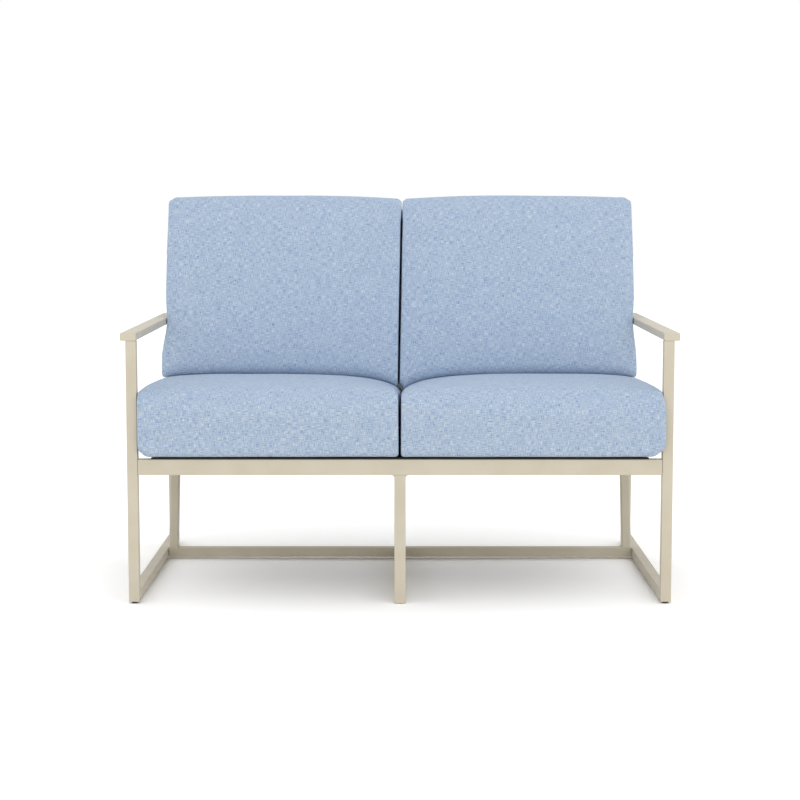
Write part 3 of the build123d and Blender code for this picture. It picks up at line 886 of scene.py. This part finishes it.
@dataclass
class BackCushion(Cushion):
    """A back cushion that leans on the raked frame and rests on the seat cushion."""

    seat: Optional[bpy.types.Object] = None
    part: ClassVar[str] = "back"
    blank: ClassVar[Triple] = (0.632, 0.462, 0.168)
    upright: ClassVar[int] = 1
    wrap: ClassVar[int] = -1
    corners: ClassVar[tuple[float, ...]] = (0.006, 0.015, 0.005, 0.022)
    rolls: ClassVar[Triple] = (0.028, 0.03, 0.03)
    inner: ClassVar[float] = 0.0024
    outer: ClassVar[float] = 0.6355
    zip_line: ClassVar[float] = 0.2215
    zip_at: ClassVar[Span] = (zip_line, 0.5180)
    zip_turn: ClassVar[float] = math.pi
    swell_below: ClassVar[dict[Side, float]] = {Side.LEFT: 0.010, Side.RIGHT: 0.006}
    rake: float = math.radians(15)
    foot: Vector = field(default_factory=lambda: Vector((0, 0.169976, 0.0363)))
    low: float = 0.5137
    high: float = 0.9572
    bow: Span = (0.010, 0.006)
    power: float = 2.6
    thick: float = 0.172
    sunk: float = 0.003
    stand_off: float = 0.0006
    give: float = 0.004
    crown: float = 0.018
    crown_start: float = 0.4
    bend: float = 0.006
    bend_span: Span = (0.02, 0.5)
    shift: float = 0.0037
    lean: float = 0.0205
    meet: float = 0.0018
    meet_span: Span = (0.915, 0.945)
    side_start: float = 0.45
    swell_above: float = 0.0025
    below_span: Span = (0.56, 0.64)
    above_spans: tuple[Span, Span] = ((0.67, 0.72), (0.8, 0.97))
    squeeze: float = 0.001
    squeeze_level: float = 0.651
    squeeze_reach: float = 0.03
    arm_level: float = 0.6515
    arm_span: Span = (0.016, 0.0115)
    arm_face: float = 0.6344
    arm_give: float = 0.002
    draped: float = 0.13
    rest_gap: float = 0.0008
    rest_span: Span = (0.006, 0.6285)
    rest_rear: float = 0.235
    crossing: float = 0.020
    crossing_rear: float = 0.13
    crossing_depth: float = 0.05

    def turn(self) -> Matrix:
        """The turn from across, up the back and out of it, to the seat's axes."""
        sine, cosine = math.sin(self.rake), math.cos(self.rake)
        return Matrix(((1, 0, 0), (0, sine, -cosine), (0, cosine, sine)))

    def settle(self, points: np.ndarray) -> np.ndarray:
        """Leans the swollen form on the frame, between the arms and on the seat cushion."""
        low, high = points.min(axis=0), points.max(axis=0)
        share = (points - low) / (high - low)
        out = share[:, 2] * (self.thick + self.sunk) - self.sunk
        out = pressed(out, self.stand_off, self.give, -1)
        half = (self.outer - self.inner) / 2
        x = self.inner + share[:, 0] * 2 * half
        across = share[:, 0] * 2 - 1
        start = (self.low - self.foot.z) / math.cos(self.rake) - out * math.tan(self.rake)
        top = self.high - np.where(across < 0, *self.bow) * np.abs(across) ** self.power
        up = start + share[:, 1] * (top - start)
        along = np.abs(2 * share[:, 1] - 1)
        fall = 1 - (1 - np.abs(across) ** self.power) * (1 - along ** self.power)
        out -= self.crown * fall * eased(share[:, 2], self.crown_start, 1)
        place = np.stack([x, up, out], axis=1) @ np.array(self.turn()).T + np.array(self.foot)
        place[:, 0] = self.held(self.met(place))
        place[:, 0] *= self.side.value
        bend = self.bend * (1 - eased(share[:, 2], *self.bend_span))
        place = self.drifted(place, bend - self.shift + self.lean * (place[:, 2] - self.low))
        return self.rested(place)

    def met(self, place: np.ndarray) -> np.ndarray:
        """Brings the top of the inner side closer to its neighbour."""
        closer = place.copy()
        closer[:, 0] -= self.meet * self.near(place[:, 0]) * eased(place[:, 2], *self.meet_span)
        return closer

    def held(self, place: np.ndarray) -> np.ndarray:
        """Squeezes the outer side between the arms and lets it swell below and above them."""
        x, z = place[:, 0], place[:, 2]
        outward = eased(x, self.side_start, self.outer)
        squeeze = np.exp(-((z - self.squeeze_level) / self.squeeze_reach) ** 2)
        below = 1 - eased(z, *self.below_span)
        start, end = self.above_spans
        above = eased(z, *start) * (1 - eased(z, *end))
        swell = self.swell_below[self.side] * below + self.swell_above * above
        x = x + outward * (swell - self.squeeze * squeeze)
        held = pressed(x, self.arm_face, self.arm_give, 1)
        inside = eased(np.abs(z - self.arm_level), *self.arm_span)
        return x + (held - x) * inside

    def rested(self, place: np.ndarray) -> np.ndarray:
        """Lets the underside follow the seat cushion's top, with a groove for the zip."""
        top = skin_of(self.seat)
        fade = 1 - eased(place[:, 2], self.low, self.low + self.draped)
        groove = self.grooved(place[:, 0], place[:, 1])
        inmost, outmost = self.rest_span
        for row in np.nonzero(fade > 0)[0]:
            x, y = place[row, 0], place[row, 1]
            forward = max(0.0, min(1.0, (self.crossing_rear - y) / self.crossing_depth))
            x = self.side.value * min(max(abs(x), inmost + self.crossing * forward), outmost)
            spot = top.ray_cast(Vector((x, min(y, self.rest_rear), 1.0)), Vector((0, 0, -1)))[0]
            spot = spot or top.find_nearest(Vector((x, y, self.low)))[0]
            rise = spot.z + self.rest_gap - self.low + self.zip_groove * groove[row]
            rise *= fade[row]
            place[row] += (0, rise * math.tan(self.rake), rise)
        return place


@dataclass
class ZipFastener:
    """A coil zip: two tapes, two rows of teeth, and a slider with its pull."""

    cushion: str
    tape: bpy.types.Material
    metal: bpy.types.Material
    length: float = 0.52
    tape_width: float = 0.0045
    tape_thickness: float = 0.0007
    cells: tuple[int, int] = (90, 4)
    tooth_pitch: float = 0.004
    tooth: Triple = (0.0024, 0.0034, 0.0014)
    tooth_side: float = 0.0012
    tooth_edge: float = 0.0004
    margin: float = 0.02
    slider: Triple = (0.011, 0.008, 0.0032)
    slider_edge: float = 0.001
    slider_inset: float = 0.014
    pull: Triple = (0.022, 0.005, 0.001)
    pull_reach: float = 0.012
    lift: float = 0.0002
    clear: float = 0.012

    def block(self, mesh: bmesh.types.BMesh, size: Sequence[float], place: Sequence[float],
              round_by: float) -> None:
        """Adds one bevelled block."""
        made = bmesh.ops.create_cube(mesh, size=1.0)["verts"]
        bmesh.ops.scale(mesh, vec=Vector(size), verts=made)
        bmesh.ops.translate(mesh, vec=Vector(place), verts=made)
        edges = list({edge for vert in made for edge in vert.link_edges})
        bmesh.ops.bevel(mesh, geom=edges, offset=round_by, offset_type="OFFSET", segments=1,
                        profile=0.5, affect="EDGES", material=-1)

    def tapes(self) -> bmesh.types.BMesh:
        """The two woven tapes as one strip of small cells."""
        mesh = bmesh.new()
        bmesh.ops.create_grid(mesh, x_segments=self.cells[0], y_segments=self.cells[1], size=0.5)
        bmesh.ops.scale(mesh, vec=(self.length, 2 * self.tape_width, 1), verts=mesh.verts)
        shell = bmesh.ops.extrude_face_region(mesh, geom=mesh.faces[:])["geom"]
        raised = [part for part in shell if isinstance(part, bmesh.types.BMVert)]
        bmesh.ops.translate(mesh, vec=(0, 0, self.tape_thickness), verts=raised)
        bmesh.ops.recalc_face_normals(mesh, faces=mesh.faces[:])
        return mesh

    def teeth(self) -> bmesh.types.BMesh:
        """Both rows of teeth, the slider and its pull."""
        mesh = bmesh.new()
        count = int((self.length - self.margin) / self.tooth_pitch)
        height = self.tape_thickness + self.tooth[2] / 2
        for number in range(count):
            x = (number - (count - 1) / 2) * self.tooth_pitch
            for row, shift in ((-1, 0), (1, self.tooth_pitch / 2)):
                spot = (x + shift, row * self.tooth_side, height)
                self.block(mesh, self.tooth, spot, self.tooth_edge)
        end = -self.length / 2 + self.slider_inset
        top = self.tape_thickness + self.slider[2] / 2
        self.block(mesh, self.slider, (end, 0, top), self.slider_edge)
        spot = (end + self.pull_reach, 0, top + self.slider[2] / 2)
        self.block(mesh, self.pull, spot, self.tooth_edge)
        return mesh

    def make(self, cover: bpy.types.Object, matrix: Matrix) -> None:
        """Lays the zip on a cover.

        Args:
            cover: The cushion's cover.
            matrix: The zip's middle and turn, its third axis pointing away from the cover.
        """
        skin = skin_of(cover)
        for mesh, word, material in ((self.tapes(), "zip_tape", self.tape),
                                     (self.teeth(), "zip_teeth", self.metal)):
            piece = piece_of(mesh, f"{self.cushion}_{word}")
            self.fit(piece, matrix, skin)
            coat(piece, material)
            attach(piece, self.cushion)
            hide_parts(f"{self.cushion}_zip")
            log.info("%s", piece.name)

    def fit(self, piece: bpy.types.Object, matrix: Matrix, skin: BVHTree) -> None:
        """Drops a flat piece on the cover, point by point.

        Args:
            piece: The piece, flat round the origin, facing up.
            matrix: Its place and turn, near the cover.
            skin: The cover's surface.
        """
        inward = -(matrix.to_3x3() @ Vector((0, 0, 1)))
        for vert in piece.data.vertices:
            spot = matrix @ Vector((vert.co.x, vert.co.y, self.clear))
            hit = skin.ray_cast(spot, inward, 2 * self.clear)[0] or spot + inward * self.clear
            vert.co = hit - inward * (vert.co.z + self.lift)
        piece.data.update()


@dataclass
class Frame:
    """The tube frame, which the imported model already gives: it gets its finishes here."""

    coat: bpy.types.Material
    nylon: bpy.types.Material
    bar: bpy.types.Material
    steel: bpy.types.Material

    def finish_for(self, node: str) -> bpy.types.Material:
        """The finish of a frame node, by its name."""
        if "glide" in node or node in ("spacer_washers", "top_rail_plugs"):
            return self.nylon
        if "clamp" in node:
            return self.bar
        if node in ("frame_bolts", "arm_rivet_nuts"):
            return self.steel
        return self.coat

    def make(self) -> None:
        """Dresses every node of the frame."""
        for node, piece in frame["nodes"].items():
            if piece.get("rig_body") == "frame" and "sling" not in node:
                coat(piece, self.finish_for(node))
                log.info("%s: %s", node, piece.data.materials[0].name)


@dataclass
class SeatDeck:
    """The two mesh slings that carry the seat cushions."""

    mesh: bpy.types.Material
    sag: float = 0.004
    held_edge: float = 0.03
    sag_reach: float = 0.08
    cells: tuple[int, int] = (48, 52)
    thickness: float = 0.0012

    def make(self) -> None:
        """Builds both slings."""
        for side in Side:
            self.sling(side)

    def sling(self, side: Side) -> None:
        """Builds one sling, stretched over its rails and slack between them."""
        node = f"{side.word}_seat_sling"
        low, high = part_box(node)
        mesh = bmesh.new()
        bmesh.ops.create_grid(mesh, x_segments=self.cells[0], y_segments=self.cells[1], size=0.5)
        size = high - low
        bmesh.ops.scale(mesh, vec=(size.x, size.y, 1), verts=mesh.verts)
        bmesh.ops.translate(mesh, vec=((low.x + high.x) / 2, (low.y + high.y) / 2, high.z),
                            verts=mesh.verts)
        for vert in mesh.verts:
            edge = min(vert.co.x - low.x, high.x - vert.co.x, vert.co.y - low.y, high.y - vert.co.y)
            free = max(edge - self.held_edge, 0)
            vert.co.z -= self.sag * (1 - math.exp(-free / self.sag_reach))
        bmesh.ops.solidify(mesh, geom=mesh.faces[:], thickness=self.thickness)
        bmesh.ops.recalc_face_normals(mesh, faces=mesh.faces[:])
        piece = piece_of(mesh, f"{side.word}_sling_cloth")
        smooth(piece)
        coat(piece, self.mesh)
        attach(piece, "frame")
        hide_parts(node)
        f"{side.word}_seat_rail"
        log.info("%s", piece.name)


def direct(nodes: bpy.types.Nodes, links: bpy.types.NodeLinks) -> bpy.types.NodeSocket:
    """Tells the rays that show a thing from those that only light the scene.

    Args:
        nodes: The nodes of the tree that asks.
        links: The tree's links.

    Returns:
        A socket that is 1 for a ray from the camera, a reflection or clear glass, and 0 for others.
    """
    path = nodes.new("ShaderNodeLightPath")
    share = path.outputs["Is Camera Ray"]
    for kind in ("Is Glossy Ray", "Is Transmission Ray"):
        either = nodes.new("ShaderNodeMath")
        either.operation = "MAXIMUM"
        links.new(share, either.inputs[0])
        links.new(path.outputs[kind], either.inputs[1])
        share = either.outputs[0]
    return share


@dataclass
class Studio:
    """The pale floor, the soft light and the camera."""

    eye: Vector = field(default_factory=lambda: Vector((0, -4.9435, 0.971)))
    pitch: float = math.radians(5.95)
    lens: float = 85.0
    sensor: float = 36.0
    farthest: float = 200.0
    sky: float = 1.03
    floor_half: float = 30.0
    floor_tone: Colour = (0.9, 0.86, 0.8, 1.0)
    floor_gain: float = 1.17
    lamp_size: Span = (3.6, 2.8)
    lamp_aim: Vector = field(default_factory=lambda: Vector((0, 0, 0.4)))

    def camera(self) -> None:
        """Sets the camera where the photograph was taken from."""
        data = bpy.data.cameras.new("camera")
        data.lens = self.lens
        data.sensor_width = self.sensor
        data.clip_end = self.farthest
        made = placed("camera", data)
        made.location = self.eye
        made.rotation_euler = (math.pi / 2 - self.pitch, 0, 0)
        bpy.context.scene.camera = made

    def floor(self) -> None:
        """Lays the floor, which the camera sees near white and which keeps the shadow."""
        mesh = bmesh.new()
        bmesh.ops.create_grid(mesh, x_segments=1, y_segments=1, size=self.floor_half)
        piece = piece_of(mesh, "floor")
        shader = Shader("pale_floor")
        shown = Link(shader, direct(shader.nodes, shader.links))
        gain = self.floor_gain
        plain = shader.node("ShaderNodeBsdfDiffuse", {}, {"Color": self.floor_tone})
        bright = shader.node("ShaderNodeBsdfDiffuse", {}, {"Color": (gain, gain, gain, 1)})
        mix = shader.node("ShaderNodeMixShader", {}, {0: shown, 1: plain, 2: bright})
        output = [node for node in shader.nodes if node.type == "OUTPUT_MATERIAL"][0]
        shader.feed(output.inputs["Surface"], mix)
        shader.nodes.remove(shader.surface)
        coat(piece, shader.material)

    def world(self) -> None:
        """Lights the scene from all round, with a white surround where it is seen."""
        world = bpy.data.worlds.new("studio")
        world.use_nodes = True
        nodes, links = world.node_tree.nodes, world.node_tree.links
        nodes.clear()
        mix = nodes.new("ShaderNodeMixShader")
        links.new(direct(nodes, links), mix.inputs[0])
        for socket, strength in zip(mix.inputs[1:], (self.sky, 1.0)):
            light = nodes.new("ShaderNodeBackground")
            light.inputs["Color"].default_value = (1, 1, 1, 1)
            light.inputs["Strength"].default_value = strength
            links.new(light.outputs[0], socket)
        output = nodes.new("ShaderNodeOutputWorld")
        links.new(mix.outputs[0], output.inputs["Surface"])
        bpy.context.scene.world = world

    def lamp(self, name: str, place: Sequence[float], power: float) -> None:
        """Hangs a broad lamp, aimed at the seat.

        Args:
            name: The lamp's name.
            place: Where it hangs.
            power: Its power in watts.
        """
        data = bpy.data.lights.new(name, "AREA")
        data.shape = "RECTANGLE"
        data.size, data.size_y = self.lamp_size
        data.energy = power
        made = placed(name, data)
        made.location = place
        made.rotation_euler = (self.lamp_aim - made.location).to_track_quat("-Z", "Y").to_euler()

    def make(self) -> None:
        """Sets up the whole studio."""
        self.camera()
        self.floor()
        self.world()
        self.lamp("front", (1.2, -4.4, 3.6), 32.0)
        self.lamp("left", (-3.6, -3.0, 1.5), 13.0)
        self.lamp("right", (3.6, -3.0, 1.5), 13.0)
        bpy.context.scene.view_settings.view_transform = "Standard"
        log.info("studio")


def main() -> None:
    """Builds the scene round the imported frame."""
    logging.basicConfig(level=logging.INFO, format="%(message)s")
    Studio().make()
    nylon = Moulded("black_nylon", srgb(34, 34, 35), srgb(24, 24, 25)).material()
    bar = Moulded("black_bar", srgb(26, 26, 27), srgb(18, 18, 19), 0.5).material()
    teeth = Moulded("zip_teeth", srgb(96, 118, 150), srgb(80, 100, 130), 0.35).material()
    Frame(PowderCoat().material(), nylon, bar, Steel().material()).make()
    SeatDeck(DeckMesh().material()).make()
    cloth = HeatherCloth().material()
    tape = Tape().material()
    for side in Side:
        seat = SeatCushion(side, cloth)
        seat_cover = seat.make()
        back = BackCushion(side, cloth, seat=seat_cover)
        back_cover = back.make()
        for cushion, cover in ((seat, seat_cover), (back, back_cover)):
            ZipFastener(cushion.name, tape, teeth).make(cover, cushion.zip_place())


if __name__ == "__main__":
    main()
